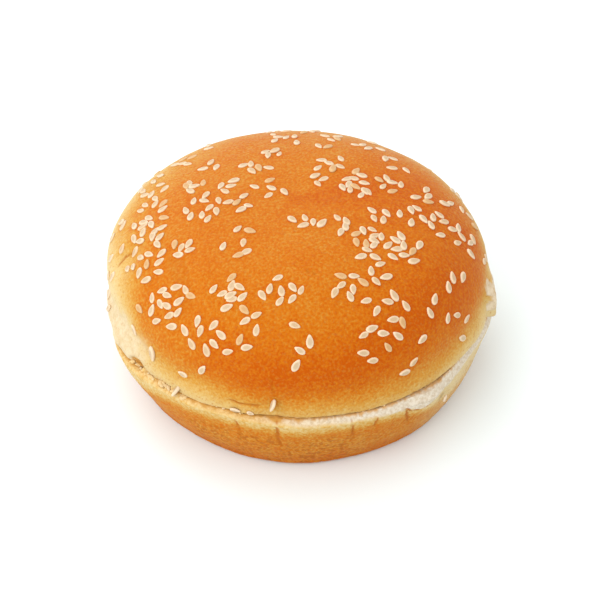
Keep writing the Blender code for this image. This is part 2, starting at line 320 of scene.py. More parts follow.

# How far below its rim the heel's crust begins to turn brown and has turned, and how much
# further down at its pale left and at its right, where a sheen is painted, whose azimuths come first
HEEL_TURNS_BROWN = (0.4, 5.4)
PALE_HEEL_LEFT = ((128, 152), 5.0)
HEEL_SHEEN_RIGHT = ((-66, -36), 6.0)

# How brown the heel is at its rim, what its side adds, and what shade painted at its foot adds,
# with the distances below the rim between which that painted shade begins
HEEL_BROWN = 0.14
SIDE_BROWN = 0.46
FOOT_SHADE = 0.1
FOOT_SHADE_BEGINS = (13, 20)

# Where the heel is speckled: distances below the rim between which it begins, and the
# azimuth and reaches of the stretch where it is most so
SPECKS_BEGIN = (3.5, 8)
MOST_SPECKLED = (-97, (12, 40))

# Azimuths between which a sheen is painted on the heel's crust at the right as a little of
# the crumb's colour, and, counted clockwise, those between which its crumb is rough at the left
PALE_SHEEN_RIGHT = ((-58, -35), (0, 40))
ROUGH_LEFT = ((114, 126), (146, 152))

# Colours of the crust by how far it is baked and how much shade and light is painted on it,
# of its sheen, specks and flecks, and of the brown shade painted in its creases
CRUST_STOPS = (
    (0.0, (0.61, 0.47, 0.23, 1.0)),
    (0.2, (0.57, 0.37, 0.12, 1.0)),
    (0.4, (0.52, 0.255, 0.042, 1.0)),
    (0.6, (0.495, 0.168, 0.015, 1.0)),
    (0.7, (0.49, 0.134, 0.006, 1.0)),
    (1.0, (0.44, 0.076, 0.002, 1.0)),
)
CRUST_GLOSS = (1.0, 0.55, 0.12, 1.0)
SPECK = (0.34, 0.09, 0.006, 1.0)
FLECK = (0.72, 0.36, 0.10, 1.0)
CREASE_SHADE_BROWN = (0.38, 0.10, 0.007, 1.0)

# Colours of the torn crumb, of the brown shade painted in the gap between the halves and of the seeds
CRUMB = (0.66, 0.59, 0.48, 1.0)
CRUMB_SHADE = (0.54, 0.44, 0.32, 1.0)
GOLDEN_CRUMB = (0.72, 0.50, 0.21, 1.0)
GOLDEN_SHADE = (0.56, 0.32, 0.08, 1.0)
SEAM_SHADE_BROWN = (0.50, 0.25, 0.06, 1.0)
HUSK = (0.50, 0.37, 0.23, 1.0)
HUSK_RIM = (0.72, 0.57, 0.40, 1.0)
TOASTED_HUSK = (0.50, 0.28, 0.11, 1.0)
TOASTED_RIM = (0.60, 0.38, 0.17, 1.0)

# Light: a pale sky all round, and softboxes by place, size and watts
SKY = (1.0, 0.99, 0.98, 1.0)
SKY_STRENGTH = 1.2
SOFTBOXES = {
    "behind": ((-0.25, 0.5, 0.5), 0.6, 1.6),
    "front_left": ((-0.45, -0.36, 0.48), 0.6, 2.6),
}
FLOOR_COLOUR = (0.79, 0.85, 0.86, 1.0)
FLOOR_SIZE = 3.0

# The camera of the photograph
CAMERA_ELEVATION = 44.5
CAMERA_DISTANCE = 330.0
CAMERA_TARGET = (-0.47, 0.0, 15.18)
CAMERA_ROLL = 0.1
FOCAL_PIXELS = 1192.9
PICTURE_PIXELS = 600
SENSOR = 36.0


def smooth(value, start, end):
    """0 before the start, 1 past the end, and an even step between."""
    t = np.clip((value - start) / (end - start), 0, 1)
    return t * t * (3 - 2 * t)


def near(points, centre, reach):
    """1 at the centre, falling to 0 at the reach along x, y and z."""
    distance = np.linalg.norm((points - np.array(centre)) / np.array(reach), axis=1)
    return 1 - smooth(distance, 0, 1)


def lumps(points, wavelength, seed):
    """Smooth unevenness between about -1 and 1."""
    shift = Vector((seed, 2 * seed, 3 * seed))
    return np.array([noise.noise(Vector(p) / wavelength + shift) for p in points])


def swells(azimuth, rows):
    """The sum of bumps and hollows, each given by its azimuth, reach and height."""
    total = np.zeros(len(azimuth))
    for middle, reach, height in rows:
        away = np.abs((np.degrees(azimuth) - middle + 180) % 360 - 180)
        total += height * (1 - smooth(away, 0, reach))
    return total


def out_of_round(azimuth, waves):
    """What waves round the plan add to its radius."""
    return sum(a * np.cos(count * azimuth) + b * np.sin(count * azimuth) for count, a, b in waves)


def polar(points):
    """Each point's distance from the axis, and its azimuth."""
    return np.hypot(points[:, 0], points[:, 1]), np.arctan2(points[:, 1], points[:, 0])


def at_left(turn, start, end):
    """1 at the left, fading in between two azimuths, counted clockwise, and out at the back."""
    clockwise = -turn % 360
    return smooth(clockwise, start, end) * (1 - smooth(clockwise, *LEFT_ENDS))


def at_right(turn, start, end):
    """1 at the right, fading in between two azimuths and out at the back."""
    return smooth(turn, start, end) * (1 - smooth(turn, *RIGHT_ENDS))


def dome_height(distance):
    """Height of the crown's skin above its cut face, at a distance from the axis."""
    share = min(distance / CROWN_RADIUS, 1.0)
    return CROWN_WALL + CROWN_DOME * math.sqrt(1 - share**CROWN_SQUARENESS)


def corner(radius, height, rounding, start, end, rings):
    """Points round a corner, whose rounding has its middle at (radius, height)."""
    angles = np.radians(np.linspace(start, end, rings + 1))
    return [(radius + rounding * math.cos(a), height + rounding * math.sin(a)) for a in angles]


def crown_profile():
    points = [(0.0, CROWN_WALL + CROWN_DOME)]
    for i in range(1, DOME_RINGS + 1):
        angle = math.pi / 2 * i / DOME_RINGS
        distance = CROWN_RADIUS * math.sin(angle) ** (2 / CROWN_SQUARENESS)
        points.append((distance, dome_height(distance)))
    for i in range(1, WALL_RINGS):
        height = CROWN_WALL + (CROWN_LIP_ROUNDING - CROWN_WALL) * i / WALL_RINGS
        points.append((CROWN_RADIUS, height))
    inner = CROWN_RADIUS - CROWN_LIP_ROUNDING
    points += corner(inner, CROWN_LIP_ROUNDING, CROWN_LIP_ROUNDING, 0, -90, LIP_RINGS)
    points += [(inner - i, 0.0) for i in range(1, FACE_RINGS + 1)]
    return points + [(share * CROWN_RADIUS, 0.0) for share in (0.6, 0.5, 0.4, 0.3, 0.2, 0.1, 0.0)]


def heel_radius(share):
    """Radius of the heel's side, from 0 at the base to 1 at the cut face."""
    slope = HEEL_BASE_RADIUS + (HEEL_TOP_RADIUS - HEEL_BASE_RADIUS) * share
    return slope + HEEL_BULGE * math.sin(math.pi * share)


def heel_profile():
    points = [(share * HEEL_TOP_RADIUS, HEEL_HEIGHT) for share in (0.0, 0.1, 0.2, 0.3, 0.4, 0.5, 0.6)]
    inner = HEEL_TOP_RADIUS - HEEL_RIM_ROUNDING
    points += [(inner - i * FACE_STEP, HEEL_HEIGHT) for i in range(24, 3, -1)]
    points += [(inner - i * RIM_STEP, HEEL_HEIGHT) for i in range(17, 0, -1)]
    low = HEEL_HEIGHT - HEEL_RIM_ROUNDING
    points += corner(inner, low, HEEL_RIM_ROUNDING, 90, 0, LIP_RINGS)
    lowest = HEEL_FOOT_ROUNDING
    for i in range(1, SIDE_RINGS):
        height = low + (lowest - low) * i / SIDE_RINGS
        points.append((heel_radius(height / HEEL_HEIGHT), height))
    foot = heel_radius(lowest / HEEL_HEIGHT) - HEEL_FOOT_ROUNDING
    points += corner(foot, HEEL_FOOT_ROUNDING, HEEL_FOOT_ROUNDING, 0, -90, LIP_RINGS)
    return points + [(share * foot, 0.0) for share in (0.9, 0.6, 0.3, 0.0)]


def turned(name, profile):
    """A closed skin turned about Z from a profile that runs from top to bottom."""
    line = bpy.data.meshes.new(name)
    points = [(r * MM, 0, z * MM) for r, z in profile]
    line.from_pydata(points, [(i, i + 1) for i in range(len(points) - 1)], [])
    guide = bpy.data.objects.new(name, line)
    bpy.context.scene.collection.objects.link(guide)
    screw = guide.modifiers.new("turn", "SCREW")
    screw.steps = STEPS
    screw.render_steps = STEPS
    screw.use_merge_vertices = True
    screw.merge_threshold = 0.00001
    graph = bpy.context.evaluated_depsgraph_get()
    mesh = bpy.data.meshes.new_from_object(guide.evaluated_get(graph))
    bpy.data.objects.remove(guide)
    obj = bpy.data.objects.new(name, mesh)
    bpy.context.scene.collection.objects.link(obj)
    return obj


def get_points(obj):
    """The places of an object's vertices, in millimetres."""
    points = np.empty(len(obj.data.vertices) * 3, np.float32)
    obj.data.vertices.foreach_get("co", points)
    return points.reshape(-1, 3).astype(float) / MM


def set_points(obj, points):
    obj.data.vertices.foreach_set("co", (points * MM).astype(np.float32).ravel())
    obj.data.update()


def get_normals(obj):
    normals = np.empty(len(obj.data.vertices) * 3, np.float32)
    obj.data.vertices.foreach_get("normal", normals)
    return normals.reshape(-1, 3).astype(float)


def paint(obj, name, values):
    """Stores one number for each vertex, for the finish to read."""
    layer = obj.data.attributes.new(name, "FLOAT", "POINT")
    layer.data.foreach_set("value", np.asarray(values, np.float32))


def scaled_plan(points, extra):
    """Adds a length to each point's distance from the axis."""
    distance, _ = polar(points)
    factor = 1 + extra / np.maximum(distance, 1.0)
    return points * np.stack([factor, factor, np.ones(len(points))], 1)


def snapped(skin, stops):
    """The nearest place on a skin to each stop."""
    return [np.array(skin.find_nearest(Vector(stop) * MM)[0]) / MM for stop in stops]


def chain(points, stops, width, depth):
    """Depth of a crease along several stops, which wanders and fades towards both ends."""
    shifted = points + 0.25 * lumps(points, 1.7, 4.0)[:, None]
    nearest = np.full(len(points), np.inf)
    share = np.zeros(len(points))
    for i, (start, end) in enumerate(zip(stops, stops[1:])):
        distance, part = along(shifted, start, end)
        share = np.where(distance < nearest, (i + part) / (len(stops) - 1), share)
        nearest = np.minimum(nearest, distance)
    ends = smooth(share, -0.1, 0.15) * (1 - smooth(share, 0.6, 1.05))
    return depth * ends * np.exp(-((nearest / (0.5 * width)) ** 2))


def heel_rim_height(points):
    """Height of the heel's rim, which slopes down to the back."""
    return HEEL_HEIGHT - HEEL_FACE_SLOPE * points[:, 1]


def crown_turn():
    return np.array(Euler((*CROWN_TILT, 0.0)).to_matrix())


def heel_face_height(points, distance):
    """Height of the heel's cut face, which follows the crown's and drops to the rim."""
    normal = crown_turn()[:, 2]
    away = points[:, :2] - np.array(CROWN_MIDDLE[:2])
    under_crown = CROWN_MIDDLE[2] - away @ normal[:2] / normal[2] - LEAST_GAP
    rim = heel_rim_height(points)
    return rim + np.maximum(under_crown - rim, 0) * (1 - smooth(distance, *FACE_DROP))


def heel_unevenness(points):
    """Where the points of the plain heel lie on the uneven one."""
    distance, azimuth = polar(points)
    share = points[:, 2] / HEEL_HEIGHT
    outer = smooth(distance, 20, HEEL_BASE_RADIUS)
    extra = out_of_round(azimuth, HEEL_WAVES)
    extra += smooth(share, 0.3, 0.9) * swells(azimuth, RIM_SWELLS)
    extra += (1 - smooth(share, 0.1, 0.6)) * swells(azimuth, FOOT_SWELLS)
    extra += 0.35 * lumps(points, 14, 3.0)
    placed = scaled_plan(points, extra * outer)
    top = heel_face_height(placed, distance)
    lift = (top - HEEL_HEIGHT) * smooth(share, 0.15, 1.0)
    crumb = 0.2 * lumps(points, 5, 9.0) * smooth(share, 0.9, 1.0)
    placed[:, 2] += lift + crumb
    return placed


def torn_sides(points, wander=0.0):
    """Shares of the tab at the right and the patch at the left, whose borders may wander."""
    _, azimuth = polar(points)
    turn = np.degrees(azimuth) + wander * lumps(points, 3.5, 2.2)
    height = points[:, 2] + wander * lumps(points, 4.5, 3.1)
    rises, falls, tab_ends = TAB
    tab = smooth(turn, *rises) * (1 - smooth(turn, *falls)) * (1 - smooth(height, *tab_ends))
    middle, reaches, patch_ends = PATCH
    from_middle = np.abs((turn - middle + 180) % 360 - 180)
    patch = (1 - smooth(from_middle, *reaches)) * (1 - smooth(height, *patch_ends))
    return tab, patch


def crown_unevenness(points):
    """Where the points of the plain crown lie on the uneven one."""
    distance, azimuth = polar(points)
    height = points[:, 2].copy()
    outer = smooth(distance, 5, CROWN_RADIUS)
    side = smooth(distance, CROWN_RADIUS - 8, CROWN_RADIUS - 1)
    low = 1 - smooth(height, 1.5, 8)
    extra = out_of_round(azimuth, CROWN_WAVES)
    extra += 0.35 * lumps(points, 16, 5.0)
    front = smooth(-np.sin(azimuth), 0.1, 0.3)
    extra += side * low * (LIP_FLARE * front + swells(azimuth, LIP_SWELLS))
    tab, patch = torn_sides(points)
    extra += side * (TAB_STANDS * tab - PATCH_SINKS * patch * (1 - low))
    extra += TORN_ROUGHNESS * (tab + patch) * lumps(points, 3.5, 1.0)
    points = scaled_plan(points, extra * outer)
    points += near(points, *DENT)[:, None] * np.array(DENT_PUSH)
    points[:, 2] += 0.45 * lumps(points, 22, 7.0) * smooth(height, 8, 25)
    ragged = 0.3 + 0.9 * near(points, *RAGGED_LIP)
    edge = (1 - smooth(height, 0.5, 6.0)) * smooth(distance, 30, 48)
    points[:, 2] += edge * ragged * lumps(points, 5, 2.0)
    return points


def clear_of_heel(points):
    """Lifts what is low on the crown off the heel, still in the crown's own frame."""
    turn = crown_turn()
    placed = points @ turn.T + np.array(CROWN_MIDDLE)
    distance, azimuth = polar(placed)
    distance -= swells(azimuth, RIM_SWELLS)
    top = heel_face_height(placed, distance)
    rise = np.maximum(top + LEAST_GAP - placed[:, 2], 0)
    low = 1 - smooth(points[:, 2], 2.0, 10.0)
    return points + (rise * low)[:, None] * turn[2]


def along(points, start, end):
    """Distance from a line's stretch, and the share of it that the nearest point lies at."""
    start = np.array(start)
    line = np.array(end) - start
    share = np.clip((points - start) @ line / (line @ line), 0, 1)
    return np.linalg.norm(points - start - share[:, None] * line, axis=1), share


class Value:
    """A shader value that adds a node for each sum it takes part in."""

    def __init__(self, finish, socket):
        self.finish = finish
        self.socket = socket

    def sum(self, operation, first, second):
        return self.finish.add("Math", {"operation": operation}, {0: first, 1: second})

    def __add__(self, other):
        return self.sum("ADD", self, other)

    def __radd__(self, other):
        return self.sum("ADD", other, self)

    def __sub__(self, other):
        return self.sum("SUBTRACT", self, other)

    def __rsub__(self, other):
        return self.sum("SUBTRACT", other, self)

    def __mul__(self, other):
        return self.sum("MULTIPLY", self, other)

    def __rmul__(self, other):
        return self.sum("MULTIPLY", other, self)


class Finish:
    """A material with one Principled shader, and the nodes that feed it."""

    def __init__(self, name, **constants):
        self.material = bpy.data.materials.new(name)
        self.material.use_nodes = True
        self.tree = self.material.node_tree
        self.shader = self.tree.nodes["Principled BSDF"]
        for key, value in constants.items():
            self.shader.inputs[key.replace("_", " ").title().replace("Ior", "IOR")].default_value = value

    def add(self, kind, settings=None, inputs=None, output=0):
        node = self.tree.nodes.new("ShaderNode" + kind)
        for key, value in (settings or {}).items():
            if key == "stops":
                self.set_stops(node.color_ramp, value)
            else:
                setattr(node, key, value)
        for key, value in (inputs or {}).items():
            if isinstance(value, Value):
                self.tree.links.new(value.socket, node.inputs[key])
            else:
                node.inputs[key].default_value = value
        return Value(self, node.outputs[output])

    @staticmethod
    def set_stops(ramp, stops):
        while len(ramp.elements) < len(stops):
            ramp.elements.new(0.5)
        for element, (place, colour) in zip(ramp.elements, stops):
            element.position = place
            element.color = colour

    def painted(self, name):
        return self.add("Attribute", {"attribute_name": name}, output="Fac")

    def place(self):
        return self.add("TexCoord", output="Object")

    def noise(self, size, detail=3.0, roughness=0.5):
        """Noise between 0 and 1 whose features are about one size in millimetres."""
        inputs = {"Vector": self.place(), "Scale": 1 / (size * MM), "Detail": detail}
        inputs["Roughness"] = roughness
        return self.add("TexNoise", None, inputs)

    def stretch(self, value, low, high, start=0.0, end=1.0):
        settings = {"interpolation_type": "SMOOTHSTEP"}
        inputs = {"Value": value, "From Min": low, "From Max": high, "To Min": start, "To Max": end}
        return self.add("MapRange", settings, inputs)

    def ramp(self, value, stops):
        return self.add("ValToRGB", {"stops": stops}, {0: value})

    def mix(self, share, first, second, blend="MIX"):
        settings = {"data_type": "RGBA", "blend_type": blend}
        return self.add("Mix", settings, {0: share, 6: first, 7: second}, output=2)

    def feed(self, socket, value):
        self.tree.links.new(value.socket, self.shader.inputs[socket])

    def bump(self, height, distance, strength=1.0):
        inputs = {"Height": height, "Distance": distance * MM, "Strength": strength}
        self.feed("Normal", self.add("Bump", None, inputs))


def crumb_colour(finish, size):
    """The pale colour of torn crumb, golden where it is painted so, and brown where shade is painted in
    the gap.
    """
    fibre = finish.stretch(finish.noise(size, 5.0, 0.65), 0.35, 0.62)
    pale = finish.mix(fibre, CRUMB_SHADE, CRUMB)
    golden = finish.mix(fibre, GOLDEN_SHADE, GOLDEN_CRUMB)
    torn = finish.mix(finish.painted("gold"), pale, golden)
    return finish.mix(finish.painted("seam"), torn, SEAM_SHADE_BROWN)


def crown_finish():
    crust = Finish("baked_crown_crust", specular_ior_level=0.1, specular_tint=CRUST_GLOSS)
    crumb = crust.painted("crumb")
    mottle = crust.noise(6.0, 4.0) - 0.5
    grain = crust.noise(0.7, 2.0) - 0.5
    bake = crust.painted("bake")
    shade = crust.ramp(bake + mottle * 0.2 + grain * (0.15 + bake * 0.95), CRUST_STOPS)
    pores = crust.stretch(crust.noise(0.6, 2.0), 0.55, 0.72)
    shade = crust.mix(pores * 0.5, shade, SPECK)
    flecks = crust.stretch(crust.noise(0.6, 2.0), 0.5, 0.7)
    shade = crust.mix(flecks * 0.1, shade, FLECK)
    shade = crust.mix(crumb, shade, crumb_colour(crust, 1.6))
    # Shade painted in brown in the creases
    crust.feed("Base Color", crust.mix(crust.painted("mark"), shade, CREASE_SHADE_BROWN))
    crust.feed("Roughness", 0.48 + crumb * 0.4 + grain * 0.12)
    rough = crust.noise(1.1, 4.0) * (0.16 + crumb * 0.6) + grain * 0.4
    crust.bump(rough, 0.5)
    return crust.material


def heel_finish():
    crust = Finish("baked_heel_crust", specular_ior_level=0.1, specular_tint=CRUST_GLOSS)
    crumb = crust.painted("crumb")
    speck = crust.painted("speck")
    mottle = crust.noise(2.2, 5.0, 0.65) - 0.5
    grain = crust.noise(0.7, 2.0) - 0.5
    shade = crust.ramp(crust.painted("bake") + mottle * 0.4 + grain * 0.8, CRUST_STOPS)
    dots = crust.stretch(crust.noise(1.2, 1.0), 0.5, 0.62)
    shade = crust.mix(dots * speck * 0.85, shade, SPECK)
    shade = crust.mix(crumb, shade, crumb_colour(crust, 0.8))
    # Shade painted in brown in the splits and the fold
    crust.feed("Base Color", crust.mix(crust.painted("mark") * 0.9, shade, CREASE_SHADE_BROWN))
    crust.feed("Roughness", 0.6 + crumb * 0.3)
    rough = crust.noise(1.1, 4.0) * (0.45 + crumb * 0.25 + speck * 0.5) + grain * 0.35
    crust.bump(rough, 0.5)
    return crust.material


def seed_finish():
    seed = Finish("sesame_seed", roughness=0.5, specular_ior_level=0.3)
    rim = seed.painted("rim")
    fleck = seed.noise(0.6, 2.0) * 0.5
    husk = seed.mix(rim - fleck * (1 - rim), HUSK, HUSK_RIM)
    toasted = seed.mix(rim, TOASTED_HUSK, TOASTED_RIM)
    seed.feed("Base Color", seed.mix(seed.painted("toast"), husk, toasted))
    seed.bump(seed.noise(0.3, 2.0), 0.08)
    return seed.material


def dress(obj, material):
    obj.data.materials.append(material)
    obj.data.shade_smooth()
    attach(obj, "root")


def front_shade_band(turn, height):
    """1 along the middle of the band of shade painted in front of the crown, falling to 0 round it."""
    middle = BAND_HEIGHT + BAND_RISE * smooth(turn, *BAND_RISES)
    across = np.exp(-(((height - middle) / BAND_HALF) ** 2))
    return (1 - smooth(np.abs(turn - BAND_MIDDLE), *BAND_ENDS)) * across


def crown_bake_and_painted_light(points):
    """How brown the crown's crust is: pale low down and at the left, with shade painted as browner crust
    at the right and in a band in front, and a sheen painted as paler crust behind.
    """
    _, azimuth = polar(points)
    turn = np.degrees(azimuth)
    height = points[:, 2]
    patch_middle, patch_ends = BESIDE_PATCH
    change = CROWN_TURNS_BROWN + HIGHER_BEHIND * (1 - smooth(-np.sin(azimuth), *BACK_TO_FRONT))
    change += HIGHER_BESIDE_PATCH * (1 - smooth(np.abs(turn - patch_middle), *patch_ends))
    change += HIGHER_AT_LEFT * at_left(turn, *PALE_CROWN_LEFT)
    begins, ends = SHADED_CROWN_RIGHT
    right = smooth(turn, *begins) * (1 - smooth(turn, *ends))
    behind = smooth(points[:, 1], 0, 25)
    brown = CROWN_BROWN + SHADE_AT_RIGHT * right - SHEEN_BEHIND * behind
    brown *= smooth(height, change - CHANGE_REACHES, change + CHANGE_REACHES)
    return brown + BAND_SHADE * front_shade_band(turn, height) + 0.05 * lumps(points, 9, 6.0)


def shade_round_seeds(points):
    """1 close to a seed on the crown, falling to 0 a little way off, where shade is painted round the
    seeds.
    """
    places = seed_places()
    tree = kdtree.KDTree(len(places))
    for i, (x, y, _, _) in enumerate(places):
        tree.insert(down_the_side(x, y), i)
    tree.balance()
    away = np.array([tree.find(point)[2] for point in points])
    return 1 - smooth(away, 0.5 * SEED_WIDTH, 0.75 * SEED_LENGTH)


def down_the_side(x, y):
    """A place on the plain dome from a place in the plan, where distance goes on down the side."""
    distance = math.hypot(x, y)
    down = max(distance - CROWN_RADIUS, 0)
    inward = min(CROWN_RADIUS / max(distance, 1), 1)
    return Vector((x * inward, y * inward, dome_height(distance) - down))


def heel_bake_and_painted_light(points, below):
    """How brown the heel's crust is, by the distance below its rim: pale at the left, paler at the right
    where a sheen is painted, and darker at the foot where shade is painted.
    """
    _, azimuth = polar(points)
    turn = np.degrees(azimuth)
    left, further_left = PALE_HEEL_LEFT
    right, further_right = HEEL_SHEEN_RIGHT
    light = at_right(turn, *right)
    pale = further_left * at_left(turn, *left) + further_right * light
    begins, ends = HEEL_TURNS_BROWN
    browned = smooth(below, begins + pale, ends + 1.3 * pale)
    bake = HEEL_BROWN - 0.12 * light + (SIDE_BROWN - 0.08 * light) * browned
    return bake + FOOT_SHADE * smooth(below, *FOOT_SHADE_BEGINS) + 0.08 * lumps(points, 7, 6.0)


def heel_specks(rest, turn, below):
    """How speckled the heel's crust is: most low down in front."""
    middle, ends = MOST_SPECKLED
    busiest = 1 - smooth(np.abs(turn - middle), *ends)
    speckled = smooth(below, *SPECKS_BEGIN) * (0.35 + 0.65 * busiest)
    return speckled * (0.75 + 0.5 * lumps(rest, 12, 1.0))


def lay(obj):
    """Moves a mesh made in the crown's own frame to where the crown lies."""
    turn = Euler((*CROWN_TILT, 0.0)).to_matrix().to_4x4()
    obj.data.transform(Matrix.Translation(Vector(CROWN_MIDDLE) * MM) @ turn)
    obj.data.update()


def crown_crumb(rest, tab, patch, low_face):
    """How far the crown's skin is crumb: wholly on its cut face and tab, half at the patch."""
    ragged = lumps(rest, 2.2, 8.0)
    soft_patch = 0.55 * smooth(patch + 0.12 * ragged, 0.05, 1.1)
    torn_tab = smooth(tab + 0.25 * ragged, 0.35, 0.65)
    return np.maximum(np.maximum(torn_tab, soft_patch), low_face)


def crown_relief(rest, crumb, notch):
    """How far the crown's skin stands out, apart from its creases."""
    out = 0.06 * lumps(rest, 3.0, 3.3) + 0.25 * crumb * lumps(rest, 1.8, 2.7)
    out += 0.12 * crumb * lumps(rest, 0.7, 5.1)
    return out - NOTCH_DEPTH * smooth(notch, 0.0, 0.4)


def crown_creases(points, skin):
    """Depth of the crown's creases at each point, and how much shade is painted in them there."""
    cut = np.zeros(len(points))
    crease_shading = np.zeros(len(points))
    for name, (stops, width, depth) in CROWN_CREASES.items():
        crease = chain(points, snapped(skin, stops), width, depth)
        cut += crease
        dark = CREASE_SHADE.get(name, 0)
        crease_shading = np.maximum(crease_shading, dark * np.clip(1.6 * crease / depth - 0.3, 0, 1))
    return cut, crease_shading


def make_crown():
    """Makes the crown. Returns its skin in its own frame, and as it lies."""
    crown = turned("crown_skin", crown_profile())
    rest = get_points(crown)
    points = clear_of_heel(crown_unevenness(rest))
    set_points(crown, points)
    tab, patch = torn_sides(rest, BORDERS_WANDER)
    notch = near(rest, *LIP_NOTCH)
    low_face = 1 - smooth(rest[:, 2], 0.05, 0.2)
    crumb = crown_crumb(rest, tab, patch, low_face)
    cut, crease_shading = crown_creases(points, skin_of(crown))
    out = crown_relief(rest, crumb, notch) - cut
    set_points(crown, points + get_normals(crown) * out[:, None])
    # The crust's tone, with shade painted round the seeds
    paint(crown, "bake", crown_bake_and_painted_light(rest) + SEED_SHADE * shade_round_seeds(rest))
    paint(crown, "crumb", np.maximum(crumb, smooth(notch, 0.1, 0.4)))
    # Shade painted in the creases
    paint(crown, "mark", crease_shading)
    # The cut face, which lies in the gap, and the notch in the lip are painted golden with brown shade;
    # the patch and tab are a little golden
    paint(crown, "gold", np.where(low_face > 0.5, 1.0, 0.15 * patch + 0.3 * tab + notch))
    paint(crown, "seam", np.maximum(0.4 * low_face, smooth(notch, 0.1, 0.5)))
    skin = skin_of(crown)
    lay(crown)
    dress(crown, crown_finish())
    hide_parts("crown")
    return skin, skin_of(crown)


def gap_to(skin, points, limit):
    """Distance of each point from a skin, at most the limit."""
    gaps = np.full(len(points), float(limit))
    for i, point in enumerate(points):
        found = skin.find_nearest(Vector(point) * MM, limit * MM)
        if found[0]:
            gaps[i] = found[3] / MM
    return gaps


def torn_away(rest, turn):
    """How far below the heel's rim its crust is torn away at the right."""
    middle, reach, depth = RIM_TEAR
    away = np.abs(turn - middle) + 0.8 * lumps(rest, 1.5, 1.1)
    torn = depth * (1 - smooth(away, 0.4 * reach, reach))
    start, end, lower = RIGHT_CRUMB
    right = smooth(turn, *start) * (1 - smooth(turn, *end))
    return torn + lower * right * (1 + 0.3 * lumps(rest, 2.5, 9.1))


def heel_crumb(rest, turn, below, torn):
    """1 where the heel shows its crumb: on its cut face and where its rim is torn."""
    middle, reach, _ = RIM_TEAR
    beside_tear = 1 - smooth(np.abs(turn - middle - reach), reach, 3 * reach)
    jagged = 0.3 + 1.4 * beside_tear
    face = 1 - smooth(below + jagged * lumps(rest, 1.6, 8.0) - torn, -0.4, 0.6)
    return face * (rest[:, 2] > 5)


def heel_relief(rest, turn, below, face, torn):
    """How far the heel's skin stands out, apart from its splits and its fold."""
    out = 0.08 * lumps(rest, 3.0, 3.3) + 0.16 * face * lumps(rest, 1.8, 2.7)
    out += 0.09 * face * lumps(rest, 0.7, 5.1)
    out += (1 - face) * smooth(below, 3, 8) * 0.06 * lumps(rest, 1.1, 7.7)
    begins, ends = ROUGH_LEFT
    rough_left = face * smooth(-turn, *begins) * (1 - smooth(-turn, *ends))
    out += rough_left * (0.35 * lumps(rest, 1.4, 5.5) + 0.1)
    return out - 0.25 * np.clip(torn, 0, 1) * face


def heel_splits(points, skin):
    """Depth of the heel's splits at each point, and as a share of the full depth."""
    cut = np.zeros(len(points))
    share = np.zeros(len(points))
    for stops, width, depth in HEEL_SPLITS.values():
        split = chain(points, snapped(skin, stops), width, depth)
        cut += split
        share = np.maximum(share, split / depth)
    return cut, share


def rim_fold(points, skin):
    """Depth of the fold under the torn rim, and height of the ridge along it."""
    stops = snapped(skin, TEAR_CREASE)
    ridge = chain(points - np.array((0, 0, TEAR_RIDGE_RISE)), stops, *TEAR_RIDGE_SIZE)
    return chain(points, stops, *TEAR_CREASE_SIZE), ridge


def heel_seam_shade(rest, points, turn, crown):
    """How much brown shade is painted on the heel's crumb: most in the gap where the crown lies close,
    and in some spots; it is also a little darker at the left.
    """
    distance, azimuth = polar(rest)
    fibres = np.stack([azimuth * HEEL_TOP_RADIUS, 0.2 * distance, 0 * distance], 1)
    gap = gap_to(crown, points, 4) + 0.7 * lumps(fibres, 0.8, 4.4) + 0.4 * lumps(rest, 0.9, 6.6)
    seam = 0.85 * (1 - smooth(gap, 0.2, 1.2 + 0.2 * smooth(turn, -84, -66)))
    seam += 0.13 * at_left(turn, 85, 100) + 0.15 * (1 - smooth(np.abs(turn + 105), 5, 15))
    for place, reach, share in SHADED_SPOTS:
        seam += share * near(points, place, reach)
    return np.clip(seam, 0, 1)


def make_heel(crown):
    heel = turned("heel_skin", heel_profile())
    rest = get_points(heel)
    points = heel_unevenness(rest)
    set_points(heel, points)
    even = skin_of(heel)
    turn = np.degrees(polar(rest)[1])
    below = heel_rim_height(points) - points[:, 2]
    torn = torn_away(rest, turn)
    face = heel_crumb(rest, turn, below, torn)
    cut, split = heel_splits(points, even)
    fold, ridge = rim_fold(points, even)
    out = heel_relief(rest, turn, below, face, torn) - cut + ridge - fold
    off_base = smooth(rest[:, 2], 0.0, 1.5)
    points = points + get_normals(heel) * (out * off_base)[:, None]
    set_points(heel, points)
    split_shading = np.maximum(split, fold / TEAR_CREASE_SIZE[1])
    begins, ends = PALE_SHEEN_RIGHT
    pale_sheen = smooth(turn, *begins) * (1 - smooth(turn, *ends))
    # Shade painted in the fold under the torn rim, as browner crust
    paint(heel, "bake", heel_bake_and_painted_light(rest, below) + 0.12 * np.clip(fold, 0, 1))
    # A sheen painted at the right, as a little of the crumb's pale colour
    paint(heel, "crumb", np.maximum(face, 0.2 * pale_sheen))
    # Shade painted in brown in the splits and the fold
    paint(heel, "mark", np.clip(2.2 * split_shading - 0.5, 0, 1))
    # Brown shade painted on the crumb in the gap under the crown
    paint(heel, "seam", face * heel_seam_shade(rest, points, turn, crown))
    paint(heel, "gold", 0.3 * at_left(turn, 70, 90) + 0.6 * at_left(turn, 90, 110))
    paint(heel, "speck", heel_specks(rest, turn, below))
    dress(heel, heel_finish())
    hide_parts("heel")


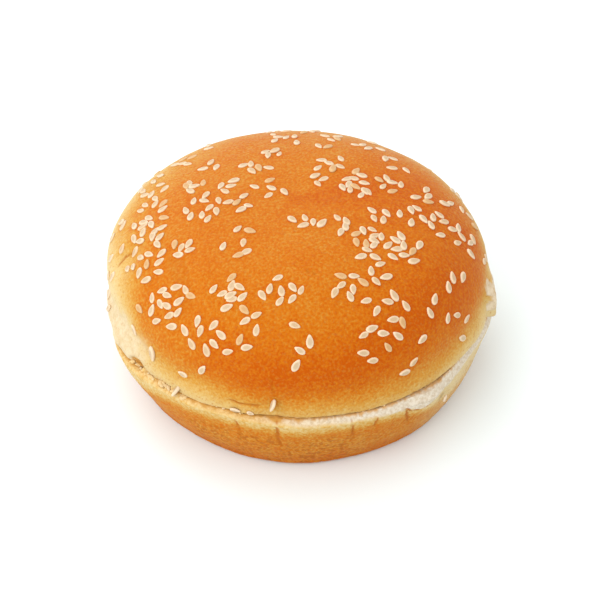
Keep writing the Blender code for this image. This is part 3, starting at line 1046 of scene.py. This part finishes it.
def seed_form():
    """One seed as (points, faces, rim): a flat teardrop with a raised rim, its point at +X."""
    form = bmesh.new()
    bmesh.ops.create_uvsphere(form, u_segments=SEED_SIDES, v_segments=SEED_BANDS, radius=1)
    points = np.array([vertex.co for vertex in form.verts])
    faces = [[vertex.index for vertex in face.verts] for face in form.faces]
    form.free()
    x = points[:, 0]
    out = np.hypot(points[:, 0], points[:, 1])
    taper = 1 - 0.38 * smooth(x, -0.4, 1.1)
    points[:, 1] *= taper
    flat = 0.78 + 0.22 * smooth(out, 0.35, 0.8)
    points[:, 2] *= (0.6 + 0.4 * taper) * flat
    return points, faces, smooth(out, 0.45, 0.8)


def seed_places():
    """Seeds as (x, y, turn, size). Each is drawn in its patch and keeps off those before it."""
    draw = random.Random(SEED_DRAW)
    seeds = []
    for x, y, reach, count in SEED_PATCHES:
        for _ in range(count):
            for _ in range(SEED_TRIES):
                turn = draw.uniform(0, 2 * math.pi)
                away = reach * math.sqrt(draw.random())
                spot = (x + away * math.cos(turn), y + away * math.sin(turn))
                if all(math.dist(spot, other[:2]) > SEED_SPACING for other in seeds):
                    break
            seeds.append((*spot, draw.uniform(0, 2 * math.pi), draw.gauss(1.0, 0.06)))
    return seeds


def skin_of(obj):
    form = bmesh.new()
    form.from_mesh(obj.data)
    skin = BVHTree.FromBMesh(form)
    form.free()
    return skin


def scatter(name, places):
    """Joins a copy of the seed at each (place, toast) into one piece."""
    shape, faces, rim = seed_form()
    points = []
    joined = []
    toasts = []
    for place, toast in places:
        first = len(points) * len(shape)
        points.append(shape @ np.array(place.to_3x3()).T + np.array(place.translation))
        joined += [[first + i for i in face] for face in faces]
        toasts.append(np.full(len(shape), toast))
    obj = new_piece(name, np.concatenate(points), joined)
    paint(obj, "rim", np.tile(rim, len(places)))
    paint(obj, "toast", np.concatenate(toasts))
    return obj


def new_piece(name, points, faces):
    mesh = bpy.data.meshes.new(name)
    mesh.from_pydata(points.tolist(), [], faces)
    obj = bpy.data.objects.new(name, mesh)
    bpy.context.scene.collection.objects.link(obj)
    return obj


def make_seeds(skin):
    draw = random.Random(TOAST_DRAW)
    places = []
    for x, y, turn, size in seed_places():
        spot, normal, _, _ = skin.find_nearest(down_the_side(x, y) * MM)
        flat = normal.to_track_quat("Z", "Y").to_matrix() @ Matrix.Rotation(turn, 3, "Z")
        half = Vector((SEED_LENGTH, SEED_WIDTH, SEED_THICKNESS)) * size * MM / 2
        stands = SEED_STANDS + draw.uniform(*SEED_SETTLES)
        place = Matrix.LocRotScale(spot + normal * stands * MM, flat.to_quaternion(), half)
        toast = draw.choice(SEED_TOASTS)
        places.append((place, toast))
    seeds = scatter("sesame_seeds", places)
    lay(seeds)
    dress(seeds, seed_finish())
    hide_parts("crown")


def make_loose_seeds():
    places = []
    for start, end, facing in LOOSE_SEEDS.values():
        length = Vector(end) - Vector(start)
        ahead = length.normalized()
        aside = Vector(facing).cross(ahead).normalized()
        turn = Matrix((ahead, aside, ahead.cross(aside))).transposed()
        half = Vector((SEED_LENGTH, SEED_WIDTH, SEED_THICKNESS)) * length.length / SEED_LENGTH * MM / 2
        middle = (Vector(start) + Vector(end)) * MM / 2
        places.append((Matrix.LocRotScale(middle, turn.to_quaternion(), half), LOOSE_SEED_TOAST))
    dress(scatter("loose_seeds", places), seed_finish())


def shred_finish():
    shred = Finish("torn_crumb", roughness=0.9, specular_ior_level=0.1)
    shred.feed("Base Color", crumb_colour(shred, 0.8))
    shred.feed("Roughness", 0.8 + shred.noise(0.5) * 0.2)
    shred.bump(shred.noise(0.5, 4.0), 0.2)
    return shred.material


def ball_form():
    """A ball one millimetre across, as (points, faces)."""
    form = bmesh.new()
    bmesh.ops.create_icosphere(form, subdivisions=2, radius=0.5)
    points = np.array([vertex.co for vertex in form.verts])
    faces = [[vertex.index for vertex in face.verts] for face in form.faces]
    form.free()
    return points, faces


def torn_bit(draw, crown, ball, turn, most):
    """A lumpy bit of crumb, drawn longer along the crown's lip, just outside it."""
    outward = Vector((math.cos(turn), math.sin(turn), 0))
    height = Vector((0, 0, draw.uniform(*SHRED_HEIGHTS)))
    lip = crown.find_nearest((outward * HEEL_TOP_RADIUS + height) * MM)[0] / MM
    middle = lip + outward * draw.uniform(-0.4, 0.35 * most) - Vector((0, 0, 0.3 * most))
    size = np.array(SHRED_FORM) * draw.uniform(0.5, 1.0) * most
    shape = ball * (1 + 0.6 * lumps(ball + np.array(middle), 0.6, 1.0))[:, None] * size
    tips = (draw.uniform(-0.5, 0.5), draw.uniform(-0.5, 0.5))
    spin = turn + math.pi / 2 + draw.uniform(-0.7, 0.7)
    return shape @ np.array(Euler((*tips, spin)).to_matrix()).T + np.array(middle)


def make_shreds(crown):
    """Torn bits of crumb in the gap."""
    draw = random.Random(SHRED_DRAW)
    ball, faces = ball_form()
    points = []
    joined = []
    golds = []
    for first_turn, last_turn, count, most in SHRED_STRETCHES:
        for _ in range(count):
            turn = math.radians(draw.uniform(first_turn, last_turn))
            joined += [[len(points) * len(ball) + i for i in face] for face in faces]
            points.append(torn_bit(draw, crown, ball, turn, most))
            golds.append(np.full(len(ball), draw.uniform(0.5, 1.0)))
    shreds = new_piece("crumb_shreds", np.concatenate(points) * MM, joined)
    paint(shreds, "gold", np.concatenate(golds))
    paint(shreds, "seam", np.zeros(len(shreds.data.vertices)))
    dress(shreds, shred_finish())


def make_floor():
    form = bmesh.new()
    bmesh.ops.create_grid(form, x_segments=1, y_segments=1, size=FLOOR_SIZE)
    mesh = bpy.data.meshes.new("floor")
    form.to_mesh(mesh)
    form.free()
    floor = bpy.data.objects.new("floor", mesh)
    bpy.context.scene.collection.objects.link(floor)
    white = Finish("white_floor", base_color=FLOOR_COLOUR, roughness=0.9, specular_ior_level=0.0)
    floor.data.materials.append(white.material)


def make_light():
    world = bpy.data.worlds.new("studio")
    world.use_nodes = True
    sky = world.node_tree.nodes["Background"]
    sky.inputs["Color"].default_value = SKY
    sky.inputs["Strength"].default_value = SKY_STRENGTH
    bpy.context.scene.world = world
    for name, (place, size, watts) in SOFTBOXES.items():
        lamp = bpy.data.lights.new(name, "AREA")
        lamp.shape = "RECTANGLE"
        lamp.size = size
        lamp.size_y = size
        lamp.energy = watts
        softbox = bpy.data.objects.new(name, lamp)
        softbox.location = place
        facing = Vector(place) - Vector((0, 0, HEEL_HEIGHT * MM))
        softbox.rotation_euler = facing.to_track_quat("Z", "Y").to_euler()
        bpy.context.scene.collection.objects.link(softbox)


def make_camera():
    lens = bpy.data.cameras.new("camera")
    lens.sensor_width = SENSOR
    lens.lens = FOCAL_PIXELS * SENSOR / PICTURE_PIXELS
    lens.clip_start = 0.01
    camera = bpy.data.objects.new("camera", lens)
    tilt = math.radians(CAMERA_ELEVATION)
    back = Vector((0, -math.cos(tilt), math.sin(tilt)))
    camera.location = (Vector(CAMERA_TARGET) + back * CAMERA_DISTANCE) * MM
    roll = Matrix.Rotation(math.radians(CAMERA_ROLL), 3, "Z")
    turn = Matrix.Rotation(math.pi / 2 - tilt, 3, "X") @ roll
    camera.rotation_euler = turn.to_euler()
    bpy.context.scene.collection.objects.link(camera)
    bpy.context.scene.camera = camera


def main():
    make_camera()
    make_light()
    make_floor()
    crown_skin, laid_crown = make_crown()
    make_heel(laid_crown)
    make_seeds(crown_skin)
    make_loose_seeds()
    make_shreds(laid_crown)
    bpy.context.scene.view_settings.view_transform = "Standard"
    bpy.context.view_layer.update()


main()
